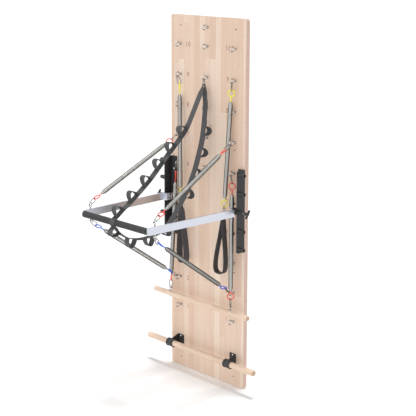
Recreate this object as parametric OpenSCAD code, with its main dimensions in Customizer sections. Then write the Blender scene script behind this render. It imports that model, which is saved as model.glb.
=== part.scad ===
// Wall-mounted pilates tower: board, push-through bar, springs, straps and bars
// Facing the board: +X right, +Y into the wall, +Z up. Wall at Y = 0, board's foot at Z = 0. Millimetres.

/* [Board] */
// Width of the board
board_w = 610; // [560:5:700]
// Height of the board
board_h = 2000; // [1950:10:2200]
// Thickness of the board
board_t = 25; // [20:1:40]
// Corner radius of the board
board_r = 15; // [5:1:40]
// Diameter of the holes for the wall screws
wall_hole_d = 8; // [6:0.5:12]
// Height of the lowest row of wall screws
wall_row_low = 52; // [30:1:80]
// Height of the second row of wall screws
wall_row_second = 641; // [610:1:670]
// Height of the third row of wall screws
wall_row_third = 1310; // [1290:1:1340]
// Height of the top row of wall screws
wall_row_top = 1943; // [1900:1:1960]

/* [Eyes] */
// Distance of the outer eye columns from the middle
col_x = 223; // [205:1:240]
// Height of the lowest row of eyes
row_first = 366; // [350:1:380]
// Distance between rows of eyes
row_pitch = 164; // [155:1:170]
// Radius of an eye to the middle of its wire
eye_r = 12.5; // [11:0.5:16]
// Wire diameter of an eye
eye_w = 5; // [4:0.5:6]
// Distance of an eye's centre from the board
eye_out = 25; // [22:0.5:32]
// Diameter of an eye's screw
eye_shank = 6; // [5:0.5:7]

/* [Height brackets] */
// Height of a bracket
bracket_h = 445; // [430:5:500]
// Height of a bracket's foot above the board's foot
bracket_z = 770; // [750:5:790]
// How far a bracket stands out of the board
bracket_d = 54; // [50:1:70]
// Width of the leg that is screwed to the board
bracket_w = 49; // [40:1:60]
// Steel thickness of a bracket
bracket_t = 6; // [4:0.5:8]
// Distance between the bosses
boss_pitch = 100; // [85:1:105]
// Outer diameter of a boss
boss_d = 24; // [22:1:30]
// How far a boss stands out of the board's side
boss_out = 41; // [30:1:60]
// Distance of the boss axis from the board's face
boss_y = 40.7; // [34:0.5:50]

/* [Push-through bar] */
// Diameter of the pivot pins
pin_d = 12; // [10:0.5:14]
// Distance from the pivot to the crossbar
bar_reach = 585; // [500:5:640]
// Half the distance between the arms at the crossbar
bar_half = 272; // [255:1:285]
// How far the arms splay outwards towards the brackets
arm_splay = 20; // [10:1:22]
// Height of an arm's strap
arm_h = 40; // [34:1:50]
// Thickness of an arm's strap
arm_t = 8; // [6:0.5:10]
// Angle that the bar hangs below level
bar_tilt = 2.2; // [0:0.1:5]
// Diameter of the foam grip
grip_d = 35; // [30:0.5:50]
// Diameter of the tube in the grip
tube_d = 25; // [22:1:30]

/* [Springs] */
// Outer diameter of a spring
spring_d = 24.5; // [20:0.5:28]
// Wire diameter of a spring
spring_w = 3; // [2.6:0.1:3.2]
// Radius of a coloured end ring to the middle of its wire
ring_r = 17.5; // [16:0.5:20]
// Wire diameter of a coloured end ring
ring_w = 5.5; // [4.5:0.5:6.5]
// Curls of wire that close each end of a spring
end_curls = 5; // [4:1:5]
// Length of a snap hook between the pieces that it joins
hook_len = 47; // [44:1:50]
// Wire diameter of a snap hook
hook_w = 4; // [3.5:0.25:4.5]

/* [Straps] */
// Width of the webbing
web_w = 38; // [30:1:42]
// Thickness of the webbing
web_t = 3; // [2.5:0.25:4]
// Length of a hand loop below its hook
loop_h = 336; // [270:2:360]
// Width of a hand loop
loop_w = 74; // [60:2:90]

/* [Wooden bars] */
// Length of the roll-down bar
roll_len = 790; // [700:5:850]
// Diameter of the roll-down bar
roll_d = 29; // [25:1:34]
// Height of the roll-down bar
roll_z = 432; // [415:1:440]
// Length of the foot bar
foot_len = 900; // [800:5:950]
// Diameter of the foot bar
foot_d = 33.5; // [28:0.5:38]
// Height of the foot bar
foot_z = 141; // [130:1:160]
// Distance of the foot bar from the board
foot_y = 54.5; // [50:0.5:70]
// Distance of the foot bar's clamps from the middle
foot_x = 244; // [225:1:260]

/* [Hidden] */

wood = [0.86, 0.76, 0.66];
steel = [0.72, 0.73, 0.74];
black = [0.16, 0.16, 0.17];
silver = [0.86, 0.88, 0.92];
red = [0.90, 0.25, 0.20];
blue = [0.18, 0.45, 0.90];
yellow = [0.95, 0.88, 0.30];
fine = 48;
seat = 0.3;
run_fit = 0.08;
skin = 0.05;
over = 1;

function unit(v) = v / norm(v);
function row_z(n) = row_first + (n - 1) * row_pitch;

face = -board_t;
side_x = board_w / 2;
rows = 10;
centre_rows = [6, 7, 8, 9, 10];

// Puts a piece with its own Z along z and its X as near as can be to x
module place(o, z, x) {
    k = unit(z);
    i = unit(x - (x * k) * k);
    j = cross(k, i);
    multmatrix([[i[0], j[0], k[0], o[0]], [i[1], j[1], k[1], o[1]], [i[2], j[2], k[2], o[2]], [0, 0, 0, 1]])
        children();
}
// The same, turned about the piece's own axis
module aimed(o, z, turn) {
    place(o, z, [1, 0, 0]) rotate(turn) children();
}
module left() {
    mirror([1, 0, 0]) children();
}
module both() {
    children();
    left() children();
}
module rod_x(x0, x1, d) {
    translate([x0, 0, 0]) rotate([0, 90, 0]) cylinder(d = d, h = x1 - x0, $fn = fine);
}
module rounded(w, h, r) {
    square([w - 2 * r, h], center = true);
    square([w, h - 2 * r], center = true);
    for (sx = [-1, 1], sy = [-1, 1])
        translate([sx * (w / 2 - r), sy * (h / 2 - r)]) circle(r, $fn = fine);
}
module torus(r, w) {
    rotate_extrude($fn = fine) translate([r, 0]) circle(d = w, $fn = 24);
}

// Board
bracket_screw_z = [for (k = [0.5, 1.5, 2.5, 3.5]) bracket_z + (bracket_h - 4 * boss_pitch) / 2 + k * boss_pitch];
bracket_screw_x = side_x - bracket_t - (bracket_w - bracket_t) / 2;
screw_d = 6;
screw_head_d = 12;
screw_len = board_t - 5;
plate_w = 49.5;
plate_top = 44;
plate_drop = 31;
gusset_t = 5;
foot_screw_x = foot_x - plate_w / 2 + gusset_t / 2;
foot_screw_z = [foot_z + plate_top - 10, foot_z - plate_drop + 10];
module bores_in_board(x, z, d, depth) {
    translate([x, face - over, z]) rotate([-90, 0, 0]) cylinder(d = d, h = depth + over, $fn = fine);
}
module board() {
    color(wood) difference() {
        translate([0, 0, board_h / 2]) rotate([90, 0, 0]) linear_extrude(board_t)
            rounded(board_w, board_h, board_r);
        for (s = [-1, 1], z = [wall_row_low, wall_row_second, wall_row_third, wall_row_top])
            bores_in_board(s * col_x, z, wall_hole_d, board_t + over);
        for (s = [-1, 1], n = [1:rows])
            bores_in_board(s * col_x, row_z(n), eye_shank + 2 * skin, screw_len + seat);
        for (n = centre_rows)
            bores_in_board(0, row_z(n), eye_shank + 2 * skin, screw_len + seat);
        bores_in_board(0, wall_row_top, eye_shank + 2 * skin, screw_len + seat);
        for (s = [-1, 1], z = bracket_screw_z)
            bores_in_board(s * bracket_screw_x, z, screw_d + 2 * skin, screw_len + seat);
        for (s = [-1, 1], z = foot_screw_z)
            bores_in_board(s * foot_screw_x, z, screw_d + 2 * skin, screw_len + seat);
    }
}

// Screw eyes: a ring square to the board, a collar seated on it and a shank in the wood
collar_d = 14;
collar_h = 4;
module screw_eye(x, z) {
    translate([x, face, z]) {
        translate([0, -eye_out, 0]) rotate([0, 90, 0]) torus(eye_r, eye_w);
        rotate([90, 0, 0]) cylinder(d = collar_d, h = collar_h, $fn = fine);
        translate([0, -collar_h, 0]) rotate([90, 0, 0])
            cylinder(d1 = collar_d - 3, d2 = eye_w, h = eye_out - eye_r - collar_h, $fn = fine);
        rotate([-90, 0, 0]) cylinder(d = eye_shank, h = screw_len, $fn = fine);
    }
}
module eyes_right() {
    color(steel) for (n = [1:rows]) screw_eye(col_x, row_z(n));
}
module eyes_left() {
    left() eyes_right();
}
module eyes_centre() {
    color(steel) {
        for (n = centre_rows) screw_eye(0, row_z(n));
        screw_eye(0, wall_row_top);
    }
}

// Height brackets: a steel angle with five welded bosses
leg_x = side_x - bracket_t;
pivot_y = face - boss_y;
boss_z = [for (k = [0:4]) bracket_z + (bracket_h - 4 * boss_pitch) / 2 + k * boss_pitch];
pivot_z = boss_z[2];
bracket_r = 12;
bush_wall = 2;
bush_bore = pin_d + 2 * run_fit;
bush_d = bush_bore + 2 * bush_wall;
flange_d = bush_d + 5;
flange_t = 1.5;
boss_neck = 21;
boss_x = side_x + boss_out;
module bracket_side() {
    translate([-face, bracket_z]) {
        square([bracket_d - bracket_r, bracket_h]);
        translate([0, bracket_r]) square([bracket_d, bracket_h - 2 * bracket_r]);
        for (z = [bracket_r, bracket_h - bracket_r])
            translate([bracket_d - bracket_r, z]) circle(bracket_r, $fn = fine);
    }
}
module height_bracket_right() {
    color(black) difference() {
        union() {
            rotate([0, 0, -90]) rotate([90, 0, 0]) translate([0, 0, -side_x])
                linear_extrude(bracket_t) bracket_side();
            translate([side_x - bracket_w, face - bracket_t, bracket_z])
                cube([bracket_w - bracket_t + over, bracket_t, bracket_h]);
            for (z = boss_z) translate([0, pivot_y, z]) {
                rod_x(side_x - over, side_x + boss_neck, boss_d);
                rod_x(side_x + boss_neck - over, boss_x, boss_d - 3);
            }
        }
        for (z = boss_z) translate([0, pivot_y, z]) rod_x(leg_x - over, boss_x + over, bush_d + 2 * skin);
        for (z = bracket_screw_z) translate([bracket_screw_x, face + over, z]) rotate([90, 0, 0])
            cylinder(d = screw_d + 2 * seat, h = bracket_t + 2 * over, $fn = fine);
    }
}
module height_bracket_left() {
    left() height_bracket_right();
}
module pivot_bushes() {
    color(steel) both() for (z = boss_z) translate([0, pivot_y, z]) difference() {
        union() {
            rod_x(leg_x - flange_t, boss_x, bush_d);
            rod_x(leg_x - flange_t, leg_x, flange_d);
        }
        rod_x(leg_x - flange_t - over, boss_x + over, bush_bore);
    }
}
// A round-headed screw with a cross recess, its head seated h in front of the board
module wood_screw(h) {
    difference() {
        union() {
            intersection() {
                cylinder(d = screw_head_d, h = 4, $fn = fine);
                translate([0, 0, 4 - screw_head_d * 0.85]) sphere(screw_head_d * 0.85, $fn = fine);
            }
            translate([0, 0, -h - screw_len]) cylinder(d = screw_d, h = h + screw_len, $fn = fine);
        }
        for (a = [0, 90]) rotate(a) translate([-3.2, -0.6, 2]) cube([6.4, 1.2, 3]);
    }
}
module bracket_screws() {
    color(steel) both() for (z = bracket_screw_z)
        translate([bracket_screw_x, face - bracket_t, z]) rotate([90, 0, 0]) wood_screw(bracket_t);
}

// Foot bar on two clamping brackets
foot_cy = face - foot_y;
clamp_wall = 7;
clamp_d = foot_d + 2 * clamp_wall;
clamp_len = 48;
plate_t = 4;
lip = 1.5;
module dowel(len, d) {
    c = d * 0.12;
    rotate([0, 90, 0]) rotate_extrude($fn = 64)
        polygon([[0, -len / 2], [d / 2 - 2 * c, -len / 2], [d / 2 - 0.6 * c, -len / 2 + 0.6 * c],
            [d / 2, -len / 2 + 2 * c], [d / 2, len / 2 - 2 * c], [d / 2 - 0.6 * c, len / 2 - 0.6 * c],
            [d / 2 - 2 * c, len / 2], [0, len / 2]]);
}
module foot_bar() {
    color(wood) translate([0, foot_cy, foot_z]) dowel(foot_len, foot_d);
}
set_screw_d = 6;
module foot_bracket_right() {
    plate_x = foot_x - plate_w + gusset_t / 2;
    color(black) difference() {
        union() {
            translate([plate_x, face - plate_t, foot_z - plate_drop])
                cube([plate_w, plate_t, plate_drop + plate_top]);
            translate([foot_x + gusset_t / 2, 0, 0]) rotate([0, -90, 0]) linear_extrude(gusset_t)
                polygon([[foot_z - plate_drop, face - plate_t + over], [foot_z + plate_top, face - plate_t + over],
                    [foot_z + clamp_d / 2 - 1, foot_cy], [foot_z - clamp_d / 2 + 3, foot_cy]]);
            translate([0, foot_cy, foot_z]) {
                rod_x(foot_x - clamp_len / 2, foot_x + clamp_len / 2, clamp_d - 2 * lip);
                rod_x(foot_x - clamp_len / 2, foot_x - clamp_len / 2 + 6, clamp_d);
                rod_x(foot_x + clamp_len / 2 - 6, foot_x + clamp_len / 2, clamp_d);
            }
        }
        translate([0, foot_cy, foot_z]) {
            rod_x(foot_x - clamp_len, foot_x + clamp_len, foot_d + 2 * run_fit);
            translate([foot_x, 0, 0]) rotate([90, 0, 0]) cylinder(d = set_screw_d + 2 * skin, h = clamp_d, $fn = fine);
        }
        for (z = foot_screw_z) translate([foot_screw_x, face + over, z]) rotate([90, 0, 0])
            cylinder(d = screw_d + 2 * seat, h = plate_t + 2 * over, $fn = fine);
        translate([foot_screw_x, face + over, foot_z + plate_top - 24]) rotate([90, 0, 0])
            cylinder(d = screw_d, h = plate_t + 2 * over, $fn = fine);
    }
}
module foot_bracket_left() {
    left() foot_bracket_right();
}
module foot_bracket_screws() {
    color(steel) both() for (z = foot_screw_z)
        translate([foot_screw_x, face - plate_t, z]) rotate([90, 0, 0]) wood_screw(plate_t);
}
module clamp_screws() {
    color(steel) both() translate([foot_x, foot_cy - foot_d / 2 - 2 * run_fit, foot_z]) rotate([90, 0, 0])
        difference() {
            cylinder(d = set_screw_d, h = clamp_wall + 2, $fn = fine);
            translate([0, 0, clamp_wall - 1]) cylinder(d = 3.4, h = 4, $fn = 6);
        }
}

// Pivot pins with cross handles, through bush, spacer and arm
arm_in = side_x - 34;
pin_tip = arm_in - arm_t - 10;
knob_x = boss_x + seat;
knob_len = 20;
handle_x = knob_x + knob_len + 6;
handle_len = 50;
handle_lean = 32;
module pivot_pin_right() {
    color(steel) translate([0, pivot_y, pivot_z]) {
        rod_x(pin_tip + 2, knob_x + 12, pin_d);
        translate([pin_tip, 0, 0]) rotate([0, 90, 0]) cylinder(d1 = pin_d - 3, d2 = pin_d, h = 2, $fn = fine);
        rod_x(knob_x, knob_x + 5, pin_d + 8);
    }
}
module pivot_pin_left() {
    left() pivot_pin_right();
}
module pin_handle_right() {
    color(black) translate([0, pivot_y, pivot_z]) difference() {
        union() {
            rod_x(knob_x + 5, handle_x, 17);
            translate([handle_x, 0, 0]) rotate([-handle_lean, 0, 0]) rotate_extrude($fn = fine)
                polygon([[0, -handle_len / 2], [4, -handle_len / 2], [5.6, -handle_len / 2 + 2], [6, -14],
                    [7.5, 0], [6, 14], [5.6, handle_len / 2 - 2], [4, handle_len / 2], [0, handle_len / 2]]);
        }
        rod_x(knob_x, knob_x + 12, pin_d + 2 * skin);
    }
}
module pin_handle_left() {
    left() pin_handle_right();
}

// Push-through bar, drawn level with its pivot at the origin and then hung at bar_tilt
module hung() {
    translate([0, pivot_y, pivot_z]) rotate([bar_tilt, 0, 0]) children();
}
function hung_at(p) = [p[0], pivot_y + p[1] * cos(bar_tilt) - p[2] * sin(bar_tilt),
    pivot_z + p[1] * sin(bar_tilt) + p[2] * cos(bar_tilt)];
arm_end = bar_reach + 9;
jog_y = 24;
arm_out = bar_half + arm_splay;
module arm_plan() {
    polygon([[arm_in - arm_t, 16], [arm_in, 16], [arm_in, -jog_y + arm_t * 0.6], [arm_out + arm_t, -jog_y - arm_t * 0.5],
        [arm_out + arm_t, -jog_y - arm_t * 1.6], [bar_half + arm_t, -arm_end], [bar_half, -arm_end],
        [arm_out - 1, -jog_y - arm_t * 1.6], [arm_in - arm_t, -jog_y - arm_t * 0.5]]);
}
module arm_outline() {
    r_out = 13;
    square([arm_end - r_out, arm_h], center = false);
    translate([0, r_out]) square([arm_end, arm_h - 2 * r_out]);
    for (z = [r_out, arm_h - r_out]) translate([arm_end - r_out, z]) circle(r_out, $fn = fine);
    translate([0, arm_h / 2]) circle(arm_h / 2 - 0.01, $fn = 64);
}
module arm_right() {
    color(silver) hung() difference() {
        intersection() {
            translate([0, 0, -arm_h / 2]) linear_extrude(arm_h) arm_plan();
            rotate([0, 0, -90]) rotate([90, 0, 0]) translate([0, -arm_h / 2, -arm_out - 40])
                linear_extrude(80) arm_outline();
        }
        rod_x(arm_in - 2 * arm_t, arm_in + arm_t, pin_d + 2 * run_fit);
        for (e = bar_eye_z) translate([bar_half + arm_t / 2, -bar_eye_y, e < 0 ? -arm_h / 2 - over : arm_h / 2 - eye_stem])
            cylinder(d = stem_d + 2 * skin, h = eye_stem + over, $fn = fine);
        translate([0, -bar_reach, 0]) rod_x(bar_half - over, bar_half + 3, tube_d + 2 * skin);
    }
}
module arm_left() {
    left() arm_right();
}
module arm_spacers() {
    color(black) both() translate([0, pivot_y, pivot_z]) difference() {
        rod_x(arm_in + seat, leg_x - flange_t - seat, 26);
        rod_x(arm_in - over, leg_x, pin_d + 2 * run_fit);
    }
}
module crossbar_tube() {
    color(steel) hung() translate([0, -bar_reach, 0]) difference() {
        rod_x(-bar_half - 3 + skin, bar_half + 3 - skin, tube_d);
        rod_x(-bar_half - 4, bar_half + 4, tube_d - 4);
    }
}
module foam_grip() {
    len = 2 * bar_half - 2 * seat;
    c = 3;
    color(black) hung() translate([-len / 2, -bar_reach, 0]) rotate([0, 90, 0]) difference() {
        rotate_extrude($fn = 64)
            polygon([[0, 0], [grip_d / 2 - c, 0], [grip_d / 2 - 0.3 * c, 0.3 * c], [grip_d / 2, c],
                [grip_d / 2, len - c], [grip_d / 2 - 0.3 * c, len - 0.3 * c], [grip_d / 2 - c, len], [0, len]]);
        translate([0, 0, -over]) cylinder(d = tube_d + 2 * skin, h = len + 2 * over, $fn = fine);
    }
}
// Small eyes screwed into the edges of the arms
small_r = 8.5;
small_w = 4.5;
stem_d = 5;
eye_stem = 10;
bar_eye_y = bar_reach - 42;
bar_eye_z = [arm_h / 2 + 5 + small_r + small_w / 2, -(arm_h / 2 + 5 + small_r + small_w / 2)];
lower_eye_turn = 20;
module small_eye(stem) {
    rotate([0, 90, 0]) torus(small_r, small_w);
    translate([0, 0, -small_r - stem]) cylinder(d = stem_d, h = stem, $fn = fine);
}
module bar_eyes() {
    color(steel) both() hung() for (e = bar_eye_z)
        translate([bar_half + arm_t / 2, -bar_eye_y, e]) rotate([e < 0 ? 180 : 0, 0, 0])
            rotate(90 - (e < 0 ? lower_eye_turn : 0)) {
                small_eye(5 + small_w / 2 + eye_stem - seat);
                translate([0, 0, -small_r - small_w / 2 - 5]) cylinder(d = arm_t, h = 3, $fn = fine);
            }
}

// Snap hooks: bent wire, an eyelet closed by a cross wire at one end and a gate along one side
bow_r = 10.5;
nose_r = 6.5;
gate_gap = 0.4;
lap = 0.25;
proud = 0.04;
module wire_arc(r, from, to) {
    rotate([90, 0, 0]) rotate([0, 0, from]) rotate_extrude(angle = to - from, $fn = fine)
        translate([r, 0]) circle(d = hook_w, $fn = 24);
}
function hook_lean(len, bow, nose) = asin((bow - nose) / (len - bow - nose));
function hook_side(len, bow, nose) = (len - bow - nose) * cos(hook_lean(len, bow, nose));
function gate_start(nose) = nose + hook_w + 1;
module hook_wire(len, bow = bow_r, nose = nose_r) {
    lean = hook_lean(len, bow, nose);
    translate([0, 0, nose]) wire_arc(nose, 180 + lean, 360 - lean);
    translate([0, 0, len - bow]) wire_arc(bow, -lean, 180 + lean);
    translate([nose * cos(lean), 0, nose - nose * sin(lean)]) rotate([0, lean, 0])
        translate([0, 0, -lap]) cylinder(d = hook_w + proud, h = hook_side(len, bow, nose) + 2 * lap, $fn = 24);
    translate([-nose * cos(lean), 0, nose - nose * sin(lean)]) rotate([0, -lean, 0])
        translate([0, 0, -lap]) cylinder(d = hook_w + proud, h = gate_start(nose) + lap, $fn = 24);
    cross_x = nose * cos(lean) + 0.8;
    translate([0, 0, 2 * nose + hook_w / 2]) rod_x(-cross_x, cross_x, hook_w - 1);
}
module hook_gate(len, bow = bow_r, nose = nose_r) {
    lean = hook_lean(len, bow, nose);
    translate([-nose * cos(lean), 0, nose - nose * sin(lean)]) rotate([0, -lean, 0])
        translate([0, 0, gate_start(nose) + gate_gap])
            cylinder(d = hook_w - 0.4, h = hook_side(len, bow, nose) - gate_start(nose) - 2 * gate_gap, $fn = 24);
}

// End rings of the springs: a coated ring, a stem and the plug that the closing curls hold
core_r = spring_d / 2 - spring_w / 2;
curl_pitch = spring_w + 0.6;
curl_shrink = 1.2;
close_len = end_curls * curl_pitch + spring_w;
stem_r = core_r - end_curls * curl_shrink - spring_w / 2 - 0.25;
module end_ring(tip) {
    rotate([90, 0, 0]) torus(ring_r, ring_w);
    translate([0, 0, ring_r]) cylinder(r = stem_r, h = tip - ring_r + close_len + 6, $fn = 24);
    translate([0, 0, tip + close_len + 2]) cylinder(r = core_r - spring_w / 2 - 0.3, h = 4, $fn = fine);
}
// A spring from ring p to ring q, as a close-wound barrel whose ends close in on the stems
curl_rings = 8;
curl_sides = 6;
function curl_point(t) = [(core_r - curl_shrink * t) * cos(360 * t), (core_r - curl_shrink * t) * sin(360 * t),
    -spring_w / 2 - skin - curl_pitch * t];
function curl_ring(t) = let (c = curl_point(t), radial = [cos(360 * t), sin(360 * t), 0])
    [for (k = [0:curl_sides - 1]) let (a = 360 * k / curl_sides)
        c + (spring_w / 2) * (cos(a) * radial + sin(a) * [0, 0, 1])];
steps = end_curls * curl_rings;
function curl_points() = [for (i = [0:steps]) each curl_ring(i / curl_rings)];
function curl_faces() = concat([[for (k = [curl_sides - 1:-1:0]) k]],
    [for (i = [0:steps - 1], k = [0:curl_sides - 1]) let (a = i * curl_sides + k,
        b = i * curl_sides + (k + 1) % curl_sides) each [[a, b, b + curl_sides], [a, b + curl_sides, a + curl_sides]]],
    [[for (k = [0:curl_sides - 1]) steps * curl_sides + k]]);
module closing_curls() {
    polyhedron(curl_points(), curl_faces(), convexity = 6);
}
least_gap = min([for (i = [0:steps - curl_rings]) for (j = [i + curl_rings - 2:min(i + curl_rings + 2, steps)])
    norm(curl_point(i / curl_rings) - curl_point(j / curl_rings)) - spring_w]);
echo(least_gap_between_curls = least_gap);
module spring(p, q, tip_p, tip_q) {
    span = norm(q - p);
    z0 = tip_p + close_len;
    z1 = span - tip_q - close_len;
    place(p, q - p, [1, 0, 0]) {
        translate([0, 0, z0]) difference() {
            cylinder(d = spring_d, h = z1 - z0, $fn = fine);
            translate([0, 0, -over]) cylinder(r = core_r - spring_w / 2, h = z1 - z0 + 2 * over, $fn = fine);
        }
        translate([0, 0, z0]) closing_curls();
        translate([0, 0, z1]) rotate([180, 0, 0]) closing_curls();
    }
}

// Chains from eye to eye: hook, ring, spring, ring, hook
long_tip = 42;
short_tip = 26;
upper_turn = 20;
upper_bar_turn = 5;
lower_turn = 20;
hang_turn = 35;
hook_turn = 30;
function wall_eye(n) = [col_x, face - eye_out, row_z(n)];
function ray(yaw, drop) = [sin(yaw) * cos(drop), -cos(yaw) * cos(drop), -sin(drop)];
bar_eye_up = hung_at([bar_half + arm_t / 2, -bar_eye_y, bar_eye_z[0]]);
bar_eye_low = hung_at([bar_half + arm_t / 2, -bar_eye_y, bar_eye_z[1]]);

// The middle of the wire that a hook pulls at: of an upright eye, and of a small eye on an arm
function eye_wire(eye, r, dir) = eye + r * unit([0, dir[1], dir[2]]);
function arm_wire(eye, up) = eye + up * small_r * [0, -sin(bar_tilt), cos(bar_tilt)];
// The end of a hook whose eyelet grips a wire w thick at g, and the wire's middle of a ring in its bow
function grip(g, dir, w) = g - (w / 2 + hook_w / 2 + seat) * dir;
function in_bow(o, dir) = o + (hook_len - ring_w / 2 - hook_w / 2 - seat) * dir;

upper_eye = wall_eye(7);
upper_wall_dir = ray(3, 35);
upper_bar_dir = ray(180, -41.2);
upper_wall_o = grip(eye_wire(upper_eye, eye_r, upper_wall_dir), upper_wall_dir, eye_w);
upper_bar_o = grip(arm_wire(bar_eye_up, 1), upper_bar_dir, small_w);
upper_a = in_bow(upper_wall_o, upper_wall_dir);
upper_b = in_bow(upper_bar_o, upper_bar_dir);
upper_p = upper_a + ring_r * unit(upper_b - upper_a);
upper_q = upper_b + ring_r * unit(upper_a - upper_b);
lower_eye = wall_eye(2);
lower_wall_dir = ray(4, -40);
lower_bar_dir = ray(180 + lower_eye_turn, 43.4);
lower_wall_o = grip(eye_wire(lower_eye, eye_r, lower_wall_dir), lower_wall_dir, eye_w);
lower_bar_o = grip(arm_wire(bar_eye_low, -1), lower_bar_dir, small_w);
lower_a = in_bow(lower_wall_o, lower_wall_dir);
lower_b = in_bow(lower_bar_o, lower_bar_dir);
lower_p = lower_a + ring_r * unit(lower_b - lower_a);
lower_q = lower_b + ring_r * unit(lower_a - lower_b);

module hook_from(o, dir, turn) {
    aimed(o, dir, turn) {
        hook_wire(hook_len);
        hook_gate(hook_len);
    }
}
module ring_at(p, toward, tip, turn) {
    aimed(p, toward - p, turn) end_ring(tip);
}
module wall_hooks() {
    color(steel) both() {
        hook_from(upper_wall_o, upper_wall_dir, -hook_turn);
        hook_from(lower_wall_o, lower_wall_dir, -hook_turn);
    }
}
module bar_hooks() {
    color(steel) both() {
        hook_from(upper_bar_o, upper_bar_dir, 90);
        hook_from(lower_bar_o, lower_bar_dir, 90);
    }
}
module upper_rings_wall() {
    color(red) both() ring_at(upper_p, upper_q, short_tip, upper_turn);
}
module upper_rings_bar() {
    color(red) both() ring_at(upper_q, upper_p, short_tip + 6, upper_bar_turn);
}
module lower_rings_wall() {
    color(blue) both() ring_at(lower_p, lower_q, short_tip + 2, lower_turn);
}
module lower_rings_bar() {
    color(blue) both() ring_at(lower_q, lower_p, long_tip, lower_turn);
}
module upper_springs() {
    color(steel) both() spring(upper_p, upper_q, short_tip, short_tip + 6);
}
module lower_springs() {
    color(steel) both() spring(lower_p, lower_q, short_tip + 2, long_tip);
}

// Hanging yellow springs with hand loops
pull_eye = wall_eye(9);
pull_len = 593;
pull_top_dir = unit([-18.5, 10, -66]);
pull_dir = unit([-28, -18, -pull_len]);
pull_o = grip(eye_wire(pull_eye, eye_r, pull_top_dir), pull_top_dir, eye_w);
pull_p = in_bow(pull_o, pull_top_dir) + ring_r * pull_dir;
pull_q = pull_p + pull_len * pull_dir;
loop_dir = unit([-12, 0, -92]);
loop_o = grip(pull_q + ring_r * pull_dir, loop_dir, ring_w);
loop_top = loop_o + hook_len * loop_dir;
loop_hook_turn = 80;
loop_yaw = 8;
module pull_hook_right() {
    color(steel) aimed(pull_o, pull_top_dir, hook_turn) hook_wire(hook_len);
}
module pull_hook_left() {
    left() pull_hook_right();
}
module pull_gate_right() {
    color(steel) aimed(pull_o, pull_top_dir, hook_turn) hook_gate(hook_len);
}
module pull_gate_left() {
    left() pull_gate_right();
}
module pull_top_ring_right() {
    color(yellow) ring_at(pull_p, pull_q, long_tip, -hang_turn);
}
module pull_top_ring_left() {
    left() pull_top_ring_right();
}
module pull_spring_right() {
    color(steel) spring(pull_p, pull_q, long_tip, short_tip);
}
module pull_spring_left() {
    left() pull_spring_right();
}
module pull_low_ring_right() {
    color(yellow) ring_at(pull_q, pull_p, short_tip, hang_turn);
}
module pull_low_ring_left() {
    left() pull_low_ring_right();
}
module loop_hook_right() {
    color(steel) aimed(loop_o, loop_dir, loop_hook_turn) hook_wire(hook_len);
}
module loop_hook_left() {
    left() loop_hook_right();
}
module loop_gate_right() {
    color(steel) aimed(loop_o, loop_dir, loop_hook_turn) hook_gate(hook_len);
}
module loop_gate_left() {
    left() loop_gate_right();
}

// Webbing: a band of even thickness along a smooth line, cut to its width
function bend(p, i) = let (n = len(p), a = p[(i - 1 + n) % n], b = p[i], c = p[(i + 1) % n], d = p[(i + 2) % n],
    m = 5) [for (k = [0:m - 1]) let (t = k / m)
    0.5 * (2 * b + t * (c - a) + t * t * (2 * a - 5 * b + 4 * c - d) + t * t * t * (3 * b - a - 3 * c + d))];
function smooth(p) = [for (i = [0:len(p) - 1]) each bend(p, i)];
function beside(p, d) = let (n = len(p)) [for (i = [0:n - 1])
    let (u = unit(p[(i + 1) % n] - p[(i - 1 + n) % n])) p[i] + d * [u[1], -u[0]]];
module band(line, t) {
    difference() {
        polygon(beside(line, -t / 2));
        polygon(beside(line, t / 2));
    }
}
gather = 10;
// How far webbing gathered on a hook's bow stands off the wire's middle
function fold_on(bow) = let (a = asin(gather / 2 / bow))
    bow * (1 - cos(a)) + hook_w / 2 / cos(a) + 2 * seat + web_t / 2;
gather_low = 45;
gather_high = 12;
module gathered(top, len) {
    polygon([[-gather / 2, top], [gather / 2, top], [gather / 2, top - gather_high], [web_w / 2, top - gather_low],
        [web_w / 2, top - len], [-web_w / 2, top - len], [-web_w / 2, top - gather_low],
        [-gather / 2, top - gather_high]]);
}
// Hand loop, drawn with the hook's wire at the origin: X across, Y down the wall
hand_fold = fold_on(bow_r);
loop_side = [[web_t * 0.85, -16], [web_t * 0.85, -34], [loop_w * 0.2, -loop_h * 0.36],
    [loop_w * 0.43, -loop_h * 0.68], [loop_w / 2 - 2, -loop_h * 0.87], [loop_w * 0.33, -loop_h * 0.965]];
loop_line = smooth(concat([[-hand_fold, -1], [0, hand_fold], [hand_fold, -1]], loop_side,
    [[0, -loop_h + hand_fold]], [for (i = [len(loop_side) - 1:-1:0]) [-loop_side[i][0], loop_side[i][1]]]));
module hand_loop_right() {
    color(black) translate(loop_top) rotate([0, 4, loop_yaw]) intersection() {
        rotate([90, 0, 0]) translate([0, 0, -web_w]) linear_extrude(2 * web_w) band(loop_line, web_t);
        rotate([90, 0, 90]) translate([0, 0, -loop_w]) linear_extrude(2 * loop_w)
            gathered(hand_fold + web_t, 2 * loop_h);
    }
}
module hand_loop_left() {
    left() hand_loop_right();
}

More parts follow.
